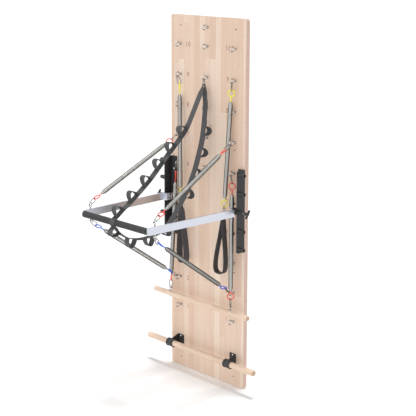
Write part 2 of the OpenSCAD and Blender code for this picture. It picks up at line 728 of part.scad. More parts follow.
// Roll-down bar on its two long springs
roll_eye = wall_eye(6);
roll_x = 254;
roll_y = 51.5;
roll_bar_c = [roll_x, face - roll_y, roll_z];
roll_small = [roll_x, face - roll_y, roll_z + roll_d / 2 + 3 + small_r + small_w / 2];
roll_top_dir = unit([23, -3.8, -66]);
roll_low_dir = unit([-3, 2, 70]);
roll_top_o = grip(eye_wire(roll_eye, eye_r, roll_top_dir), roll_top_dir, eye_w);
roll_low_o = grip(eye_wire(roll_small, small_r, roll_low_dir), roll_low_dir, small_w);
roll_a = in_bow(roll_top_o, roll_top_dir);
roll_b = in_bow(roll_low_o, roll_low_dir);
roll_p = roll_a + ring_r * unit(roll_b - roll_a);
roll_q = roll_b + ring_r * unit(roll_a - roll_b);
low_hook_turn = 20;
module roll_hooks_top() {
    color(steel) both() hook_from(roll_top_o, roll_top_dir, hook_turn);
}
module roll_rings_top() {
    color(red) both() ring_at(roll_p, roll_q, long_tip, -hang_turn);
}
module roll_springs() {
    color(steel) both() spring(roll_p, roll_q, long_tip, short_tip);
}
module roll_rings_low() {
    color(red) both() ring_at(roll_q, roll_p, short_tip, hang_turn);
}
module roll_hooks_low() {
    color(steel) both() hook_from(roll_low_o, roll_low_dir, -low_hook_turn);
}
module roll_bar() {
    color(wood) difference() {
        translate([0, roll_bar_c[1], roll_z]) dowel(roll_len, roll_d);
        for (s = [-1, 1]) translate([s * roll_x, roll_bar_c[1], roll_z - roll_d])
            cylinder(d = stem_d + 2 * skin, h = 2 * roll_d, $fn = fine);
    }
}
nut_h = 5;
module roll_bar_eyes() {
    color(steel) both() translate(roll_small) {
        small_eye(3 + small_w / 2 + roll_d + nut_h + 3);
        translate([0, 0, -small_r - small_w / 2 - 3 + 0.5]) cylinder(d = 11, h = 2, $fn = fine);
    }
}
module roll_bar_nuts() {
    color(steel) both() translate([roll_x, roll_bar_c[1], roll_z - roll_d / 2 - nut_h - 1]) difference() {
        union() {
            cylinder(d = 9.2, h = nut_h, $fn = 6);
            translate([0, 0, nut_h]) cylinder(d = 12, h = 1, $fn = fine);
        }
        translate([0, 0, -over]) cylinder(d = stem_d + 2 * skin, h = nut_h + 3, $fn = fine);
    }
}

// Looped strap: hung on the centre eye of row 9 and carried round the crossbar
strap_eye = [0, face - eye_out, row_z(9)];
strap_hook_len = 33;
strap_bow = 8;
strap_nose = 5.5;
fold = fold_on(strap_bow);
strap_o = grip(eye_wire(strap_eye, eye_r, [0, 0, -1]), [0, 0, -1], eye_w);
strap_pin = strap_o - [0, 0, strap_hook_len];
module strap_hook() {
    color(steel) place(strap_o, [0, 0, -1], [1, 0, 0])
        hook_wire(strap_hook_len, strap_bow, strap_nose);
}
module strap_gate() {
    color(steel) place(strap_o, [0, 0, -1], [1, 0, 0])
        hook_gate(strap_hook_len, strap_bow, strap_nose);
}
strap_top = [-strap_pin[1], strap_pin[2]];
bar_c = hung_at([0, -bar_reach, 0]);
bar_at = [-bar_c[1], bar_c[2]];
wrap_r = grip_d / 2 + 2 * seat + web_t / 2;
out = -face;
function bend_open(p, i) = let (n = len(p), a = p[max(i - 1, 0)], b = p[i], c = p[i + 1], d = p[min(i + 2, n - 1)],
    m = 4) [for (k = [0:m - 1]) let (t = k / m)
    0.5 * (2 * b + t * (c - a) + t * t * (2 * a - 5 * b + 4 * c - d) + t * t * t * (3 * b - a - 3 * c + d))];
strap_path = [strap_top + [fold, 0], strap_top + [fold + 4, -14], strap_top + [fold + 14, -36], [out + 62, 1570],
    [out + 92, 1512], [out + 146, 1414], [out + 205, 1350], [out + 274, 1285], [out + 335, 1225], [out + 395, 1166],
    [out + 462, 1111], [out + 528, 1061], [out + 575, 1030.5], bar_at + wrap_r * [cos(62), sin(62)] + [-22, 14],
    bar_at + wrap_r * [cos(62), sin(62)], bar_at + wrap_r * [cos(25), sin(25)],
    bar_at + wrap_r * [cos(-12), sin(-12)], bar_at + wrap_r * [cos(-48), sin(-48)],
    bar_at + wrap_r * [cos(-48), sin(-48)] + [-14, -13], [out + 610, 922], [out + 575, 894], [out + 530, 872],
    [out + 465, 860], [out + 398, 862], [out + 340, 874], [out + 289, 897], [out + 236, 950], [out + 192, 1010],
    [out + 139.5, 1082], [out + 102, 1172], [out + 79, 1262], [out + 61, 1330], [out + 47.5, 1400],
    [out + 37.5, 1480], [out + 33, 1540], strap_top + [4, -60], strap_top + [-1.5, -30],
    strap_top + [-fold + 0.6, -12], strap_top + [-fold, 0]];
strap_line = concat([for (i = [0:len(strap_path) - 2]) each bend_open(strap_path, i)],
    [for (a = [180:-30:30]) strap_top + fold * [cos(a), sin(a)]]);
// The leg by the wall hangs beside the middle eyes: how far it stands aside at each height
beside_eyes = web_w / 2 + eye_w / 2 + seat;
aside = [[row_z(6) - 86, 0], [row_z(6) - 6, 0.4 * beside_eyes], [row_z(6) + 76, 0.83 * beside_eyes],
    [row_z(7) - 40, beside_eyes], [row_z(8) + 26, beside_eyes], [row_z(8) + 86, 0.35 * beside_eyes], [strap_top[1], 0]];
half_wide = [[strap_top[1] - gather_low, web_w / 2], [strap_top[1] - gather_high, gather / 2]];
leg_z = concat([row_z(1)], [for (i = [0:4]) aside[i][0]], [strap_top[1] - gather_low, aside[5][0],
    strap_top[1] - gather_high, strap_top[1], strap_top[1] + fold + web_t]);
module leg_outline(beside) {
    rotate([90, 0, 0]) translate([0, 0, -board_h / 2]) linear_extrude(board_h)
        polygon(concat([for (z = leg_z) [beside * lookup(z, aside) + lookup(z, half_wide), z]],
            [for (i = [len(leg_z) - 1:-1:0]) [beside * lookup(leg_z[i], aside) - lookup(leg_z[i], half_wide), leg_z[i]]]));
}
// The space on the wall's side of the line between the strap's two legs
module wall_side() {
    rotate([90, 0, -90]) translate([0, 0, -2 * web_w]) linear_extrude(4 * web_w)
        polygon([[0, aside[0][0]], [out + 300, aside[0][0]], [out + 140, 1330], [out + 70, 1480], [out + 42, 1577],
            strap_top + [6, -30], strap_top + [0, 30], [0, strap_top[1] + 30]]);
}
// Sewn loops stand out of the strap at an even pitch along its length
loop_first = 277;
loop_pitch = 115.6;
loop_count = 15;
loop_out = 46;
loop_gap = 50;
strap_n = len(strap_line);
strap_run = [for (i = 0, s = 0; i < strap_n;
    s = s + norm(strap_line[(i + 1) % strap_n] - strap_line[i]), i = i + 1) s];
strap_a = [for (i = [0:strap_n - 1]) [strap_run[i], strap_line[i][0]]];
strap_b = [for (i = [0:strap_n - 1]) [strap_run[i], strap_line[i][1]]];
function strap_at(s) = [lookup(s, strap_a), lookup(s, strap_b)];
function strap_out(s) = let (u = unit(strap_at(s + 3) - strap_at(s - 3))) [-u[1], u[0]];
function loop_rise(s) = let (f = strap_out(s)) f[0] > -0.1 ? loop_out
    : min(loop_out, (strap_at(s)[0] - out - 2) / -f[0]);
// Outline of a sewn loop between its two feet, which rest on the strap's outer side
function loop_outline(s) = let (stand = web_t / 2 + 2 * seat, half = loop_gap / 2,
    p = strap_at(s - half) + stand * strap_out(s - half), q = strap_at(s + half) + stand * strap_out(s + half),
    c = (p + q) / 2, u = (q - p) / 2, f = strap_out(s) * loop_rise(s), k = 1 - web_t / norm(u),
    g = 1 - web_t / loop_rise(s))
    concat([for (a = [-90:15:90]) c + u * sin(a) + f * cos(a)],
        [for (a = [90:-15:-90]) c + k * u * sin(a) + g * f * cos(a)]);
module strap_loops() {
    color(black) for (k = [0:loop_count - 1]) let (s = loop_first + k * loop_pitch, p = strap_at(s))
        translate([p[0] < out + 140 && k > loop_count / 2 ? lookup(p[1], aside) : 0, 0, 0])
            rotate([90, 0, -90]) translate([0, 0, -web_w / 2]) linear_extrude(web_w) polygon(loop_outline(s));
}
module looped_strap() {
    color(black) intersection() {
        rotate([90, 0, -90]) translate([0, 0, -2 * web_w]) linear_extrude(4 * web_w) band(strap_line, web_t);
        union() {
            difference() {
                leg_outline(0);
                wall_side();
            }
            intersection() {
                leg_outline(1);
                wall_side();
            }
        }
    }
}

board();
eyes_left();
eyes_right();
eyes_centre();
height_bracket_left();
height_bracket_right();
pivot_bushes();
bracket_screws();
foot_bar();
foot_bracket_left();
foot_bracket_right();
foot_bracket_screws();
clamp_screws();
pivot_pin_left();
pivot_pin_right();
pin_handle_left();
pin_handle_right();
arm_left();
arm_right();
crossbar_tube();
foam_grip();
arm_spacers();
bar_eyes();
bar_hooks();
upper_rings_bar();
lower_rings_bar();
wall_hooks();
upper_rings_wall();
lower_rings_wall();
upper_springs();
lower_springs();
pull_hook_left();
pull_hook_right();
pull_gate_left();
pull_gate_right();
pull_top_ring_left();
pull_top_ring_right();
pull_spring_left();
pull_spring_right();
pull_low_ring_left();
pull_low_ring_right();
loop_hook_left();
loop_hook_right();
loop_gate_left();
loop_gate_right();
hand_loop_left();
hand_loop_right();
roll_hooks_top();
roll_rings_top();
roll_springs();
roll_rings_low();
roll_hooks_low();
roll_bar();
roll_bar_eyes();
roll_bar_nuts();
strap_hook();
strap_gate();
looped_strap();
strap_loops();
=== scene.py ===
import math

import bmesh
import bpy
from mathutils import Matrix, Vector


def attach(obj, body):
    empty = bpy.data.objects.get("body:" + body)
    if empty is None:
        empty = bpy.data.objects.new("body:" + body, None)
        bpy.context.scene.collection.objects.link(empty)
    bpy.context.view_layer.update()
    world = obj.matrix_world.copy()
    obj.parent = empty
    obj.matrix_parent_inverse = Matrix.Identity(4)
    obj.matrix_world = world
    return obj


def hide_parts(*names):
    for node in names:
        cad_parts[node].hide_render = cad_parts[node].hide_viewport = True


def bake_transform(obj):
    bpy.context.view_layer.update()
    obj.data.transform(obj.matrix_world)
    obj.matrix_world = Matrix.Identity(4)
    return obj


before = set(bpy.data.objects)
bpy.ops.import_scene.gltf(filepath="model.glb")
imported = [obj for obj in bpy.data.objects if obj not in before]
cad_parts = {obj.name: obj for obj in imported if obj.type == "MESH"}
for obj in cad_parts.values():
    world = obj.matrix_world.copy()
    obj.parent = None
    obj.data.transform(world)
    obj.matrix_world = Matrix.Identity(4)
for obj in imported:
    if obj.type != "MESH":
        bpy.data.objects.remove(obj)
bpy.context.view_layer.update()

# Camera: stands to the right of the board, a little above its top, and looks
# down at it with a long lens, as the photograph was taken.
CAMERA_AT = Vector((5.0343, -4.3724, 2.3913))
TURN, PITCH, ROLL = math.radians(49.142), math.radians(12.134), math.radians(0.202)
FOCAL_PIXELS, FRAME_PIXELS, SENSOR = 1242.39, 416, 36.0
ahead = Vector((-math.sin(TURN) * math.cos(PITCH), math.cos(TURN) * math.cos(PITCH), -math.sin(PITCH)))
level = Vector((math.cos(TURN), math.sin(TURN), 0))
above = level.cross(ahead)
across = level * math.cos(ROLL) + above * math.sin(ROLL)
upright = above * math.cos(ROLL) - level * math.sin(ROLL)
camera_data = bpy.data.cameras.new("camera")
camera_data.sensor_width = SENSOR
camera_data.lens = FOCAL_PIXELS / FRAME_PIXELS * SENSOR
camera = bpy.data.objects.new("camera", camera_data)
facing = Matrix((across, upright, -ahead)).transposed().to_4x4()
camera.matrix_world = Matrix.Translation(CAMERA_AT) @ facing
bpy.context.scene.collection.objects.link(camera)
bpy.context.scene.camera = camera
bpy.context.scene.view_settings.view_transform = "Standard"


# Floor and studio light: a white floor that runs out of sight, a soft lamp nearly
# overhead that leaves the shadow at the board's foot, and a soft lamp from the front
# that leaves none. The white room shows in full only to the camera and in metal.
FLOOR_HALF, FLOOR_DROP, FLOOR_WHITE = 60, 0.001, (0.96, 0.96, 0.96, 1)
ROOM_LIGHT, ROOM_SEEN = 0.52, 1.0


class Line:
    """A socket of a finish, whose maths is written as an expression."""

    def __init__(self, finish, socket):
        self.finish, self.socket = finish, socket

    def __add__(self, other):
        return self.finish.math("ADD", self, other)

    def __sub__(self, other):
        return self.finish.math("SUBTRACT", self, other)

    def __rsub__(self, other):
        return self.finish.math("SUBTRACT", other, self)

    def __mul__(self, other):
        return self.finish.math("MULTIPLY", self, other)

    def __truediv__(self, other):
        return self.finish.math("DIVIDE", self, other)

    def __gt__(self, other):
        return self.finish.math("GREATER_THAN", self, other)

    def __lt__(self, other):
        return self.finish.math("LESS_THAN", self, other)

    __radd__ = __add__
    __rmul__ = __mul__


class Finish:
    """A material that is built up node by node around one surface shader."""

    def __init__(self, name, shader="ShaderNodeBsdfPrincipled", **values):
        self.material = bpy.data.materials.new(name)
        self.material.use_nodes = True
        self.tree = self.material.node_tree
        self.tree.nodes.clear()
        self.out = self.tree.nodes.new("ShaderNodeOutputMaterial")
        self.surface = self.tree.nodes.new(shader)
        self.tree.links.new(self.surface.outputs[0], self.out.inputs["Surface"])
        self.set(**values)

    def put(self, node, values):
        for key, value in values.items():
            socket = node.inputs[key]
            if isinstance(value, Line):
                self.tree.links.new(value.socket, socket)
            else:
                socket.default_value = value

    def set(self, **values):
        self.put(self.surface, {key.replace("_", " "): value for key, value in values.items()})

    def node(self, kind, settings, values, output=0):
        made = self.tree.nodes.new(kind)
        for key, value in settings.items():
            if key == "stops":
                while len(made.color_ramp.elements) < len(value):
                    made.color_ramp.elements.new(0.5)
                for element, (place, colour) in zip(made.color_ramp.elements, value):
                    element.position, element.color = place, colour
            else:
                setattr(made, key, value)
        self.put(made, values)
        return Line(self, made.outputs[output])

    def math(self, operation, *terms):
        return self.node("ShaderNodeMath", {"operation": operation}, dict(enumerate(terms)))

    def point(self, output="Object"):
        return self.node("ShaderNodeTexCoord", {}, {}, output)

    def parts(self, vector):
        return [self.node("ShaderNodeSeparateXYZ", {}, {0: vector}, axis) for axis in range(3)]

    def vector(self, x, y, z):
        return self.node("ShaderNodeCombineXYZ", {}, {0: x, 1: y, 2: z})

    def noise(self, vector, scale, detail=2.0, rough=0.5):
        return self.node("ShaderNodeTexNoise", {}, {"Vector": vector, "Scale": scale, "Detail": detail,
                                                    "Roughness": rough})

    def chance(self, vector):
        return self.node("ShaderNodeTexWhiteNoise", {"noise_dimensions": "3D"}, {"Vector": vector})

    def blend(self, share, first, second, how="MIX"):
        return self.node("ShaderNodeMix", {"data_type": "RGBA", "blend_type": how},
                         {0: share, 6: first, 7: second}, 2)

    def rim(self):
        """Painted shade: 0 where the surface faces the eye, 1 where it turns away, used to darken bright
        metal towards its outline.
        """
        return self.node("ShaderNodeLayerWeight", {}, {"Blend": 0.5}, "Facing") * 1.7

    def bump(self, height, depth, strength=1.0):
        self.set(Normal=self.node("ShaderNodeBump", {}, {"Height": height, "Distance": depth,
                                                         "Strength": strength}))


def colour(red, green, blue):
    """A colour as it is seen, 0 to 255, made linear."""
    seen = [level / 255 for level in (red, green, blue)]
    return (*(((c + 0.055) / 1.055) ** 2.4 if c > 10 / 255 else c / 12.92 for c in seen), 1)


def make(name, bm, finish, smooth=True):
    """The object of a finished mesh."""
    mesh = bpy.data.meshes.new(name)
    for face in bm.faces:
        face.smooth = smooth
    bm.to_mesh(mesh)
    bm.free()
    mesh.materials.append(finish.material)
    piece = bpy.data.objects.new(name, mesh)
    bpy.context.scene.collection.objects.link(piece)
    return piece


def dress(finish, *nodes):
    """Gives CAD nodes their finish."""
    for node in nodes:
        for slot in bpy.data.objects[node].material_slots:
            slot.material = finish.material


floor_finish = Finish("white_floor", "ShaderNodeBsdfDiffuse", Color=FLOOR_WHITE)
bm = bmesh.new()
bmesh.ops.create_grid(bm, x_segments=1, y_segments=1, size=FLOOR_HALF)
bmesh.ops.translate(bm, verts=bm.verts, vec=(0, 0, -FLOOR_DROP))
make("floor", bm, floor_finish)

world = bpy.data.worlds.new("studio")
world.use_nodes = True
bpy.context.scene.world = world
room = world.node_tree
ray = room.nodes.new("ShaderNodeLightPath")
direct = ray.outputs["Is Camera Ray"]
for kind in ("Is Glossy Ray", "Is Transmission Ray"):
    either = room.nodes.new("ShaderNodeMath")
    either.operation = "MAXIMUM"
    room.links.new(direct, either.inputs[0])
    room.links.new(ray.outputs[kind], either.inputs[1])
    direct = either.outputs[0]
strength = room.nodes.new("ShaderNodeMapRange")
strength.inputs["To Min"].default_value = ROOM_LIGHT
strength.inputs["To Max"].default_value = ROOM_SEEN
room.links.new(direct, strength.inputs["Value"])
room.links.new(strength.outputs["Result"], room.nodes["Background"].inputs["Strength"])
room.nodes["Background"].inputs["Color"].default_value = (1, 1, 1, 1)


def lamp(name, towards, energy, softness, shadow):
    """A far lamp that shines towards a direction, soft by so many degrees."""
    data = bpy.data.lights.new(name, "SUN")
    data.energy = energy
    data.use_shadow = shadow
    data.angle = math.radians(softness)
    item = bpy.data.objects.new(name, data)
    item.rotation_euler = Vector(towards).to_track_quat("-Z", "Y").to_euler()
    bpy.context.scene.collection.objects.link(item)


lamp("overhead", (0.0, -0.06, -1), 1.75, 11, True)
lamp("front", (0.45, 1.0, -0.55), 0.95, 14, False)

# Board: beech staves about 43 mm wide, glued edge to edge with butt joints, planed
# and oiled. One panel, rounded at its corners, drilled for eyes and wall screws.
STAVE, BLOCK = 0.0436, 0.62


def beech(name, along, stave, block, pale, brown, rough):
    """Beech staves or blocks whose grain runs along one axis."""
    finish = Finish(name, Specular_IOR_Level=0.35)
    at = finish.parts(finish.point())
    run = at[along]
    side = at[2] if along == 0 else at[0]
    depth = at[1]
    row = finish.math("FLOOR", side / stave + 0.5)
    shift = finish.chance(finish.vector(row, 0.37, 1.9))
    part = finish.math("FLOOR", run / block + shift * 7.3)
    tone = finish.chance(finish.vector(row, part, 4.1))
    warm = finish.chance(finish.vector(row, part, 8.7))
    seed = tone * 31.0
    drift = finish.noise(finish.vector(side * 3 + seed, depth * 3, run * 0.9 + seed), 3.0, 3.0)
    fibres = finish.vector(side * 260 + seed, depth * 260, (run + drift * 0.01) * 5.0 + seed)
    grain = finish.noise(fibres, 1.0, 3.0, 0.6)
    flecks = finish.noise(finish.vector(side * 900 + seed, depth * 900, run * 120), 1.0, 1.0)
    rings = finish.math("SINE", (side * 420 + seed * 5 + drift * 26 + depth * 60))
    wood = finish.blend(tone, pale, brown)
    wood = finish.blend(warm * 0.45, wood, colour(222, 190, 168))
    wood = finish.blend((grain - 0.42) * 0.75, wood, colour(190, 152, 122))
    wood = finish.blend((rings * 0.5 + 0.5) * 0.05, wood, colour(196, 158, 130))
    wood = finish.blend((flecks > 0.66) * 0.32, wood, colour(168, 126, 98))
    if stave < 1:
        edge = finish.math("ABSOLUTE", finish.math("FRACT", side / stave + 0.5) - 0.5)
        butt = finish.math("ABSOLUTE", finish.math("FRACT", run / block + shift * 7.3) - 0.5)
        seam = finish.math("MAXIMUM", edge > 0.4935, butt > 0.4992)
        wood = finish.blend(seam * 0.42, wood, colour(150, 112, 86))
    faces = finish.parts(finish.point("Normal"))
    end = finish.math("ABSOLUTE", faces[along]) > 0.8
    wood = finish.blend(end * 0.35, wood, colour(178, 140, 114))
    if along == 2:
        # Painted shade: the walls of the drilled holes are darkened almost to black.
        painted_hole_shade = finish.math("ABSOLUTE", at[0]) < 0.29
        painted_hole_shade = painted_hole_shade * (at[2] > 0.03) * (at[2] < 1.97) * (finish.math("ABSOLUTE", faces[1]) < 0.6)
        # Painted shade: the board's side faces, which turn away from the light, are made darker and pinker
        # than its front.
        wood = finish.blend((finish.math("ABSOLUTE", faces[0]) > 0.8) * 0.35, wood, colour(206, 156, 146))
        wood = finish.blend(painted_hole_shade * 0.95, wood, colour(40, 24, 16))
    finish.set(Base_Color=wood, Roughness=grain * 0.16 + rough)
    finish.bump(grain * 0.7 + flecks * 0.3, 0.0002, 0.5)
    return finish


board_finish = beech("beech_board", 2, STAVE, BLOCK, colour(240, 222, 205), colour(224, 197, 176), 0.42)
dress(board_finish, "board")

# Numbers: 1 to 10 beside the eye rows, burnt into the face of the board in a
# pinkish brown, on both sides.
NUMBER_X, ROW_FIRST, ROW_PITCH, FACE = 0.163, 0.366, 0.164, -0.025
NUMBER_SIZE, INK = 0.038, 0.00012
number_finish = Finish("burnt_numbers", Specular_IOR_Level=0.2)
fade = number_finish.noise(number_finish.point(), 900.0, 2.0)
number_finish.set(Base_Color=number_finish.blend(fade, colour(140, 84, 76), colour(168, 112, 102)),
                  Roughness=fade * 0.2 + 0.5)
numbers = bmesh.new()
for n in range(1, 11):
    words = bpy.data.curves.new("number", "FONT")
    words.body = str(n)
    words.size, words.extrude, words.offset, words.space_character = NUMBER_SIZE, INK, -0.0002, 1.25
    words.align_x, words.align_y = "CENTER", "CENTER"
    holder = bpy.data.objects.new("number", words)
    flat = bpy.data.meshes.new_from_object(holder)
    for side in (-1, 1):
        place = Matrix.Translation((side * NUMBER_X, FACE, ROW_FIRST + (n - 1) * ROW_PITCH))
        flat.transform(place @ Matrix.Rotation(math.pi / 2, 4, "X"))
        numbers.from_mesh(flat)
        flat.transform((place @ Matrix.Rotation(math.pi / 2, 4, "X")).inverted())
    bpy.data.objects.remove(holder)
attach(make("row_numbers", numbers, number_finish, False), "tower")

# Screw eyes, bushes, screws, hooks and bar tube: steel, zinc plated and bright,
# with the faint cloudiness of the plating.
steel_finish = Finish("zinc_plated_steel", Metallic=1.0)
cloud = steel_finish.noise(steel_finish.point(), 120.0, 3.0)
fine = steel_finish.noise(steel_finish.point(), 2200.0, 1.0)
plate = steel_finish.blend(cloud, colour(214, 215, 214), colour(240, 240, 237))
# Painted shade: the plating darkens towards each part's outline, where the surface turns from the eye.
steel_finish.set(Base_Color=steel_finish.blend(steel_finish.rim(), plate, colour(44, 42, 40)),
                 Roughness=cloud * 0.16 + 0.16)
steel_finish.bump(fine, 0.00002, 0.5)
dress(steel_finish, "eyes_left", "eyes_right", "eyes_centre", "bracket_screws", "foot_bracket_screws",
      "clamp_screws", "pivot_pin_left", "pivot_pin_right", "crossbar_tube", "bar_eyes", "roll_bar_eyes",
      "roll_bar_nuts")

# Snap hooks: bent from 4 mm wire, with a sprung gate of the same wire. Their plating
# is duller than the eyes', and greyer where hooks and rings rub.
hook_finish = Finish("dull_hook_wire", Metallic=1.0)
rubbed = hook_finish.noise(hook_finish.point(), 90.0, 3.0)
dull = hook_finish.blend(rubbed, colour(128, 128, 126), colour(164, 164, 161))
# Painted shade: the hook wire darkens towards its outline, where it turns from the eye.
hook_finish.set(Base_Color=hook_finish.blend(hook_finish.rim(), dull, colour(30, 29, 28)),
                Roughness=rubbed * 0.2 + 0.22)
dress(hook_finish, "bar_hooks", "wall_hooks", "pull_hook_left", "pull_hook_right", "pull_gate_left",
      "pull_gate_right", "loop_hook_left", "loop_hook_right", "loop_gate_left", "loop_gate_right",
      "roll_hooks_top", "roll_hooks_low", "strap_hook", "strap_gate")

# Height brackets and foot bar brackets: bent and welded steel under a matt black
# powder coat, which has a fine orange-peel skin and wears a little grey on edges.
coat_finish = Finish("black_powder_coat", Specular_IOR_Level=0.45)
peel = coat_finish.noise(coat_finish.point(), 1500.0, 2.0)
scuff = coat_finish.noise(coat_finish.point(), 38.0, 4.0, 0.6)
coat_finish.set(Base_Color=coat_finish.blend(scuff, colour(36, 36, 38), colour(56, 56, 58)),
                Roughness=scuff * 0.2 + 0.42)
coat_finish.bump(peel, 0.00012, 0.6)
dress(coat_finish, "height_bracket_left", "height_bracket_right", "pivot_bushes", "foot_bracket_left",
      "foot_bracket_right")

# Foot bar and roll-down bar: turned beech dowels with chamfered ends, glued up
# from finger-jointed blocks, sanded and left pale.
dowel_finish = beech("beech_dowel", 0, 2.0, 0.135, colour(240, 219, 199), colour(228, 202, 178), 0.48)
dress(dowel_finish, "foot_bar", "roll_bar")

# Arms of the push-through bar: flat aluminium bar, brushed lengthways and bent,
# bright enough to show the white room.
arm_finish = Finish("brushed_aluminium", Metallic=1.0)
at = arm_finish.parts(arm_finish.point())
brush = arm_finish.noise(arm_finish.vector(at[0] * 900, at[1] * 9, at[2] * 900), 1.0, 2.0)
arm_finish.set(Base_Color=arm_finish.blend(brush, colour(200, 203, 213), colour(214, 217, 226)),
               Roughness=brush * 0.06 + 0.26)
arm_finish.bump(brush, 0.00001, 0.2)
dress(arm_finish, "arm_left", "arm_right")

# Pin handles and arm spacers: moulded black plastic with a fine matt grain.
plastic_finish = Finish("moulded_black_plastic", Specular_IOR_Level=0.5)
grain = plastic_finish.noise(plastic_finish.point(), 1800.0, 2.0)
mottle = plastic_finish.noise(plastic_finish.point(), 60.0, 2.0)
plastic_finish.set(Base_Color=plastic_finish.blend(mottle, colour(30, 30, 31), colour(44, 44, 45)),
                   Roughness=mottle * 0.15 + 0.36)
plastic_finish.bump(grain, 0.00008, 0.6)
dress(plastic_finish, "pin_handle_left", "pin_handle_right", "arm_spacers")

# End rings and stems of the springs: steel dipped in thick gloss plastic, red,
# blue or yellow by the strength of the spring.
for name, hue, deep, nodes in (
        ("red_dipped_coat", colour(248, 78, 58), colour(234, 60, 44),
         ("upper_rings_wall", "upper_rings_bar", "roll_rings_top", "roll_rings_low")),
        ("blue_dipped_coat", colour(14, 112, 238), colour(8, 94, 216),
         ("lower_rings_wall", "lower_rings_bar")),
        ("yellow_dipped_coat", colour(252, 248, 58), colour(248, 240, 34),
         ("pull_top_ring_left", "pull_top_ring_right", "pull_low_ring_left", "pull_low_ring_right"))):
    dip = Finish(name, Specular_IOR_Level=0.5, Coat_Roughness=0.12)
    thick = dip.noise(dip.point(), 160.0, 2.0)
    dip.set(Base_Color=dip.blend(thick, hue, deep), Roughness=thick * 0.16 + 0.26, Coat_Weight=0.3)
    dip.bump(thick, 0.0003, 0.4)
    dress(dip, *nodes)

# Springs: 3 mm drawn wire, wound close. Each turn touches the next, and five turns
# at each end close in on the stem of the end ring, so that it can't pull out.
WIRE_R, CORE_R, PITCH, STEPS = 0.00148, 0.01075, 0.00304, 12
END_TURNS, END_SHRINK, END_PITCH = 5, 0.0012, 0.0036
CLOSE = END_TURNS * END_PITCH + 2 * WIRE_R
SHORT_TIP, LOW_WALL_TIP, BAR_TIP, LONG_TIP = 0.026, 0.028, 0.032, 0.042
UPPER_P, UPPER_Q = Vector((0.226176, -0.105753, 1.31286)), Vector((0.274417, -0.56673, 1.04916))
LOWER_P, LOWER_Q = Vector((0.226201, -0.10233, 0.571832)), Vector((0.26549, -0.566691, 0.891835))
PULL_P, PULL_Q = Vector((0.212253, -0.0432947, 1.61277)), Vector((0.184297, -0.0612664, 1.0207))
ROLL_P, ROLL_Q = Vector((0.235682, -0.0533561, 1.12101)), Vector((0.251924, -0.0745693, 0.52358))
spring_finish = Finish("drawn_spring_wire", Metallic=1.0)
oil = spring_finish.noise(spring_finish.point(), 45.0, 3.0)
drawn = spring_finish.noise(spring_finish.point(), 900.0, 2.0)
# Painted highlight and shade: each coil is pale along its middle and dark towards its outline, as a round
# bar lit from the front.
around = spring_finish.node("ShaderNodeAttribute", {"attribute_name": "round"}, {}, "Vector")
painted_flank_shade = spring_finish.node("ShaderNodeLayerWeight", {}, {"Blend": 0.5, "Normal": around}, "Facing")
wire = spring_finish.blend(oil, colour(214, 213, 209), colour(238, 237, 233))
wire = spring_finish.blend(painted_flank_shade * 1.9 - 0.12, wire, colour(30, 28, 26))
# Painted shade: each turn of wire darkens towards its edges, where it turns from the eye.
spring_finish.set(Base_Color=spring_finish.blend(spring_finish.rim() * 0.35, wire, colour(34, 32, 30)),
                  Roughness=oil * 0.12 + drawn * 0.12 + 0.22)
spring_finish.bump(drawn, 0.00002, 0.5)


def coil(name, p, q, tip_p, tip_q):
    """A close-wound spring on the line from ring centre p to ring centre q."""
    low, high = tip_p + CLOSE, (q - p).length - tip_q - CLOSE
    turns = round((high - low) / PITCH)
    rise = (high - low) / turns
    whole = turns + 2 * END_TURNS
    bm = bmesh.new()
    ring = bmesh.ops.create_circle(bm, segments=8, radius=WIRE_R)["verts"]
    bmesh.ops.rotate(bm, verts=ring, cent=(0, 0, 0), matrix=Matrix.Rotation(math.pi / 2, 3, "X"))
    bmesh.ops.translate(bm, verts=ring, vec=(CORE_R, 0, low - END_TURNS * rise))
    bmesh.ops.spin(bm, geom=bm.verts[:] + bm.edges[:], cent=(0, 0, 0), axis=(0, 0, 1), angle=2 * math.pi,
                   dvec=(0, 0, rise / STEPS), steps=STEPS, use_merge=False, use_normal_flip=False,
                   use_duplicate=False)
    turn = bpy.data.meshes.new("turn")
    bm.to_mesh(turn)
    for k in range(whole - 1):
        turn.transform(Matrix.Translation((0, 0, rise)))
        bm.from_mesh(turn)
    bpy.data.meshes.remove(turn)
    bmesh.ops.remove_doubles(bm, verts=bm.verts, dist=1e-5)
    for vert in bm.verts:
        past = max(low - vert.co.z, vert.co.z - high, 0) / rise
        if past:
            reach = math.hypot(vert.co.x, vert.co.y)
            share = (reach - END_SHRINK * past) / reach
            vert.co.x *= share
            vert.co.y *= share
            vert.co.z += (END_PITCH - rise) * past * (-1 if vert.co.z < low else 1)
    bmesh.ops.holes_fill(bm, edges=[e for e in bm.edges if e.is_boundary], sides=8)
    bmesh.ops.recalc_face_normals(bm, faces=bm.faces)
    lie = (q - p).to_track_quat("Z", "X").to_matrix().to_4x4()
    outward = bm.verts.layers.float_vector.new("round")
    for vert in bm.verts:
        vert[outward] = lie @ Vector((vert.co.x, vert.co.y, 0)).normalized()
    bmesh.ops.transform(bm, verts=bm.verts, matrix=Matrix.Translation(p) @ lie)
    return make(name, bm, spring_finish)


def other_side(point):
    """The same point on the left of the board."""
    return Vector((-point.x, point.y, point.z))


for side, hand in (("left", other_side), ("right", Vector)):
    for name, p, q, tip_p, tip_q, fixed, moved in (
            ("upper", UPPER_P, UPPER_Q, SHORT_TIP, BAR_TIP, "tower", "push_bar"),
            ("lower", LOWER_P, LOWER_Q, LOW_WALL_TIP, LONG_TIP, "tower", "push_bar"),
            ("pull", PULL_P, PULL_Q, LONG_TIP, SHORT_TIP, "pull_hang_" + side, "pull_end_" + side),
            ("roll", ROLL_P, ROLL_Q, LONG_TIP, SHORT_TIP, "roll_hang", "roll_pull")):
        p, q = hand(p), hand(q)
        spring = coil("%s_spring_coil_%s" % (name, side), p, q, tip_p, tip_q)
        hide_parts({"upper": "upper_springs", "lower": "lower_springs", "roll": "roll_springs",
                             "pull": "pull_spring_" + side}[name])
        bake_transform(spring)

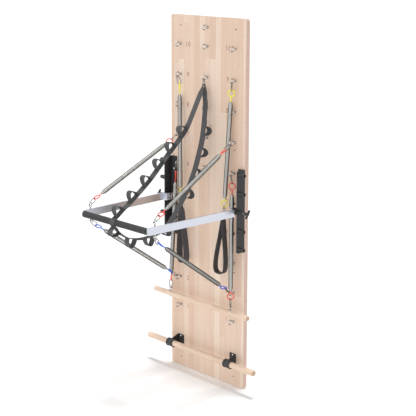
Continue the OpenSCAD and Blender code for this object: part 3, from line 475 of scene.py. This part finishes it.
# Foam grip: a sleeve of black closed-cell foam pushed over the crossbar's tube, cut
# square and softly rounded at its ends, with a slightly uneven pitted skin.
BAR_AT, BAR_HALF, GRIP_R, TUBE_R = Vector((0, -0.650269, 0.970043)), 0.2717, 0.0175, 0.01253
foam_finish = Finish("closed_cell_foam", Specular_IOR_Level=0.3)
cells = foam_finish.node("ShaderNodeTexVoronoi", {"feature": "F1"},
                         {"Vector": foam_finish.point(), "Scale": 900.0})
patch = foam_finish.noise(foam_finish.point(), 28.0, 3.0)
foam_finish.set(Base_Color=foam_finish.blend(patch, colour(52, 52, 54), colour(72, 72, 74)),
                Roughness=patch * 0.12 + 0.78)
foam_finish.bump(cells * 0.6 + patch * 0.4, 0.0004, 0.6)
bm = bmesh.new()
profile = [(-BAR_HALF, TUBE_R), (-BAR_HALF, GRIP_R - 0.002), (-BAR_HALF + 0.0006, GRIP_R - 0.0006),
           (-BAR_HALF + 0.002, GRIP_R)]
profile += [(BAR_HALF * k / 20, GRIP_R) for k in range(-19, 20)]
profile += [(-x, r) for x, r in reversed(profile[:4])]
corners = [bm.verts.new((x, 0, r)) for x, r in profile]
for first, second in zip(corners, corners[1:] + corners[:1]):
    bm.edges.new((first, second))
bmesh.ops.spin(bm, geom=bm.verts[:] + bm.edges[:], cent=(0, 0, 0), axis=(1, 0, 0), angle=2 * math.pi,
               steps=56, use_merge=True, use_duplicate=False)
bmesh.ops.recalc_face_normals(bm, faces=bm.faces)
for vert in bm.verts:
    if math.hypot(vert.co.y, vert.co.z) > GRIP_R - 0.0005:
        dent = 1 - 0.012 * (0.5 + 0.5 * math.sin(vert.co.x * 61 + 2 * math.sin(vert.co.x * 23)))
        vert.co.y *= dent
        vert.co.z *= dent
bmesh.ops.translate(bm, verts=bm.verts, vec=BAR_AT)
grip = make("foam_grip_sleeve", bm, foam_finish)
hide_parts("foam_grip")
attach(grip, "push_bar")

# Webbing of both hand loops: black woven tape 38 mm wide, folded round the hook,
# gathered there and sewn to itself, so that it hangs as a long drop.
WEB_W, WEB_T, RIB, PICK = 0.038, 0.003, 0.0021, 0.0026
GATHER, GATHER_DROP, FLARE_DROP = 0.010, 0.012, 0.033
web_finish = Finish("woven_black_webbing", Specular_IOR_Level=0.25)
cloth = web_finish.parts(web_finish.point("UV"))
column = web_finish.math("FLOOR", cloth[0] / RIB)
lift = web_finish.math("MODULO", column, 2.0) * 0.5
warp = web_finish.math("ABSOLUTE", web_finish.math("SINE", cloth[0] / RIB * math.pi))
weft = web_finish.math("ABSOLUTE", web_finish.math("SINE", (cloth[1] / PICK + lift) * math.pi))
weave = warp * 0.6 + weft * 0.4
wear = web_finish.noise(web_finish.point(), 60.0, 3.0)
hem = web_finish.math("ABSOLUTE", cloth[0] / WEB_W - 0.5) > 0.455
thread = web_finish.blend(weave, colour(44, 44, 46), colour(92, 92, 95))
thread = web_finish.blend(wear * 0.35, thread, colour(112, 111, 110))
thread = web_finish.blend(hem * 0.35, thread, colour(112, 112, 114))
web_finish.set(Base_Color=thread, Roughness=weave * 0.1 + 0.76)
web_finish.bump(weave, 0.0005, 0.8)
stitch_finish = Finish("sewing_thread", Specular_IOR_Level=0.3)
twist = stitch_finish.noise(stitch_finish.point(), 1500.0, 1.0)
stitch_finish.set(Base_Color=stitch_finish.blend(twist, colour(26, 26, 27), colour(58, 58, 60)),
                  Roughness=twist * 0.2 + 0.6)
HAND_TOP = Vector((0.178046, -0.0617967, 0.961634))
HAND_LEAN, HAND_YAW = math.radians(4), math.radians(8)
LOOP_H, LOOP_W, HAND_FOLD, PLY = 0.336, 0.074, 0.00564133, 0.00255
SEWN_ROWS, SEWN_IN_ROW, SEWN_TOP, SEWN_STEP = 5, 7, 0.019, 0.0034


def curve_through(points, closed, pieces=6):
    """A smooth line through points."""
    n = len(points)
    line = []
    for i in range(n if closed else n - 1):
        near = [j % n if closed else min(max(j, 0), n - 1) for j in range(i - 1, i + 3)]
        a, b, c, d = (Vector(points[j]) for j in near)
        for t in (k / pieces for k in range(pieces)):
            line.append(0.5 * (2 * b + t * (c - a) + t * t * (2 * a - 5 * b + 4 * c - d)
                               + t * t * t * (3 * b - a - 3 * c + d)))
    return line if closed else line + [Vector(points[-1])]


def tape(centres, halves, wide, closed, columns=8):
    """A band of webbing along its centre points, halves wide to each side, with its flat size as its UV."""
    stations = len(centres) + closed
    run = [0.0]
    for k in range(1, stations):
        run.append(run[-1] + (centres[k % len(centres)] - centres[k - 1]).length)
    bm = bmesh.new()
    flat = bm.loops.layers.uv.new("tape")
    bmesh.ops.create_grid(bm, x_segments=columns, y_segments=stations - 1, size=1)
    station = {vert: round((vert.co.y + 1) / 2 * (stations - 1)) for vert in bm.verts}
    for face in bm.faces:
        for corner in face.loops:
            corner[flat].uv = ((corner.vert.co.x + 1) / 2 * WEB_W, run[station[corner.vert]])
    for vert, k in station.items():
        vert.co = centres[k % len(centres)] + Vector(wide) * (halves[k % len(halves)] * vert.co.x)
    if closed:
        bmesh.ops.remove_doubles(bm, verts=bm.verts, dist=1e-6)
    bmesh.ops.recalc_face_normals(bm, faces=bm.faces)
    return bm


def thicken(piece, thick):
    """Gives a band its thickness, and softens the edges."""
    solid = piece.modifiers.new("thickness", "SOLIDIFY")
    solid.thickness, solid.offset = thick, 0
    soft = piece.modifiers.new("edges", "BEVEL")
    soft.width, soft.segments = thick / 4, 2
    soft.limit_method, soft.angle_limit = "ANGLE", math.radians(50)


def stitch(bm, middle, along, length=0.0032, radius=0.00042):
    """One stitch of thick thread that lies along a direction."""
    turn = along.to_track_quat("Z", "Y").to_matrix().to_4x4()
    bmesh.ops.create_cone(bm, cap_ends=True, segments=5, radius1=radius, radius2=radius, depth=length,
                          matrix=Matrix.Translation(middle) @ turn)


def gathered(drop):
    """Half the band's width at a depth below the fold."""
    return GATHER / 2 + (WEB_W - GATHER) / 2 * min(max((drop - GATHER_DROP) / FLARE_DROP, 0), 1)


fold_line = [(-HAND_FOLD, -0.001), (0, HAND_FOLD), (HAND_FOLD, -0.001)]
side_line = [(PLY, -0.016), (PLY, -0.034), (LOOP_W * 0.2, -LOOP_H * 0.36), (LOOP_W * 0.43, -LOOP_H * 0.68),
             (LOOP_W / 2 - 0.002, -LOOP_H * 0.87), (LOOP_W * 0.33, -LOOP_H * 0.965)]
loop_line = fold_line + side_line + [(0, -LOOP_H + HAND_FOLD)] + [(-x, z) for x, z in reversed(side_line)]
drop_line = [Vector((x, 0, z)) for x, z in curve_through(loop_line, True, 8)]
turned = Matrix.Rotation(HAND_YAW, 4, "Z") @ Matrix.Rotation(HAND_LEAN, 4, "Y")
hang = Matrix.Translation(HAND_TOP) @ turned
for side, flip in (("left", -1), ("right", 1)):
    place = Matrix.Scale(flip, 4, (1, 0, 0)) @ hang
    band = tape(drop_line, [gathered(HAND_FOLD - c.z) for c in drop_line], (0, 1, 0), True)
    sewn = bmesh.new()
    for face_of in (-1, 1):
        for row in range(SEWN_ROWS):
            for k in range(SEWN_IN_ROW):
                down = Vector((0, 0.35 if (row + k) % 2 else -0.35, -1)).normalized()
                beside = (k - SEWN_IN_ROW // 2) * gathered(0.024) / 4.2
                spot = Vector((face_of * (PLY + WEB_T / 2), beside, -SEWN_TOP - row * SEWN_STEP))
                stitch(sewn, spot, down)
    for part, name, finish in ((band, "hand_loop_webbing_", web_finish),
                               (sewn, "hand_loop_stitches_", stitch_finish)):
        bmesh.ops.transform(part, verts=part.verts, matrix=place)
        bmesh.ops.recalc_face_normals(part, faces=part.faces)
        piece = make(name + side, part, finish)
        if part is band:
            thicken(piece, WEB_T * 0.86)
            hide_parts("hand_loop_" + side)
        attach(piece, "hand_loop_" + side)

# Looped strap: one closed band of the same webbing, which hangs from the top eye's
# hook, comes forward round the grip and goes back up beside the middle eyes.
STRAP_FOLD, STRAP_TOP = 6.417, (50.0, 1637.3)
FRONT = ((56.42, 1637.3), (60.42, 1623.3), (70.42, 1601.3), (87, 1570), (117, 1512), (171, 1414),
         (230, 1350), (299, 1285), (360, 1225), (420, 1166), (487, 1111), (553, 1061), (600, 1030.5),
         (637.47, 1001.35), (659.47, 987.35), (668.03, 978.33), (669.44, 965.97), (663.38, 955.48),
         (649.38, 942.48), (635, 922), (600, 894), (555, 872), (490, 860), (423, 862), (365, 874),
         (314, 897), (261, 950), (217, 1010))
BESIDE = ((0, 164.5, 1082), (7.9, 127, 1172), (18.1, 104, 1262), (21.8, 86, 1330), (21.8, 72.5, 1400),
          (21.8, 62.5, 1480), (21.8, 58, 1540), (13, 54, 1577.3), (6.1, 48.5, 1607.3),
          (2.5, 44.18, 1625.3), (0, 43.58, 1637.3))


def metres(x, out, z):
    """A point of the route, given in millimetres, with its distance out from the wall."""
    return Vector((x, -out, z)) / 1000


strap_line = curve_through([metres(0, out, z) for out, z in FRONT] + [metres(*p) for p in BESIDE], False)
for turn in (math.radians(a) for a in range(165, 0, -15)):
    strap_line.append(metres(0, STRAP_TOP[0] + STRAP_FOLD * math.cos(turn),
                             STRAP_TOP[1] + STRAP_FOLD * math.sin(turn)))
fold_top = (STRAP_TOP[1] + STRAP_FOLD) / 1000
halves = [gathered(fold_top - c.z) for c in strap_line]
strap = make("looped_strap_webbing", tape(strap_line, halves, (1, 0, 0), True), web_finish)
thicken(strap, WEB_T * 0.86)
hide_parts("looped_strap")
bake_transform(strap)

# Foot and hand loops of the strap: a second band sewn along its outer side, which
# stands off it in a D every 116 mm. Each foot of a D is fixed with rows of stitches.
LOOP_FIRST, LOOP_STEP, LOOP_COUNT, LOOP_OUT, LOOP_GAP = 0.277, 0.1156, 15, 0.046, 0.050
OVER, FLAT_STEP, WALL_GAP = 0.0028, 0.0109, 0.004
TACK_ROWS, TACK_FIRST, TACK_STEP, TACKS_IN_ROW = 3, 0.004, 0.0045, 9
strap_run = [0.0]
for a, b in zip(strap_line, strap_line[1:]):
    strap_run.append(strap_run[-1] + (b - a).length)


def strap_at(s):
    """A point of the strap's middle line and the direction out of its face, s metres from the hook."""
    k = max(i for i, r in enumerate(strap_run[:-1]) if r <= s)
    share = (s - strap_run[k]) / (strap_run[k + 1] - strap_run[k])
    along = (strap_line[k + 1] - strap_line[k]).normalized()
    out = along.cross(Vector((1, 0, 0))).normalized()
    return strap_line[k].lerp(strap_line[k + 1], share), out, along


def smooth_out(s):
    """The strap's outward direction about a place, evened over a few millimetres."""
    return sum((strap_at(s + d)[1] for d in (-0.006, -0.003, 0, 0.003, 0.006)), Vector()).normalized()


def laid_over(s):
    """A point of the second band where it lies flat on the strap."""
    return strap_at(s)[0] + OVER * smooth_out(s)


ladder = []
tacks = bmesh.new()
for k in range(LOOP_COUNT):
    s = LOOP_FIRST + k * LOOP_STEP
    first, last = s - LOOP_GAP / 2, s + LOOP_GAP / 2
    low_foot, high_foot = laid_over(first), laid_over(last)
    if not k:
        ladder += [laid_over(first - back) for back in (0.030, 0.020, 0.010)]
    centre, half, out = (low_foot + high_foot) / 2, (high_foot - low_foot) / 2, smooth_out(s)
    spare = (FACE - WALL_GAP - centre.y) / out.y if out.y > 0.1 else LOOP_OUT
    rise = min(LOOP_OUT, abs(spare))
    for turn in (math.radians(a) for a in range(-90, 91, 12)):
        ladder.append(centre + half * math.sin(turn) + out * rise * math.cos(turn))
    flat_points = 3 if k == LOOP_COUNT - 1 else 5
    ladder += [laid_over(last + j * FLAT_STEP) for j in range(1, flat_points + 1)]
    for foot, away in ((first, -1), (last, 1)):
        for row in range(TACK_ROWS):
            spot, out, along = strap_at(foot + away * (TACK_FIRST + TACK_STEP * row))
            for j in range(TACKS_IN_ROW):
                side = Vector((1, 0, 0)) * ((j - TACKS_IN_ROW // 2) * WEB_W / 10)
                stitch(tacks, spot + side + out * (OVER + WEB_T * 0.43), along)
loops = make("strap_loop_webbing", tape(ladder, [WEB_W / 2] * len(ladder), (1, 0, 0), False), web_finish)
thicken(loops, WEB_T * 0.8)
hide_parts("strap_loops")
bmesh.ops.recalc_face_normals(tacks, faces=tacks.faces)
for piece in (loops, make("strap_loop_stitches", tacks, stitch_finish)):
    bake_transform(piece)
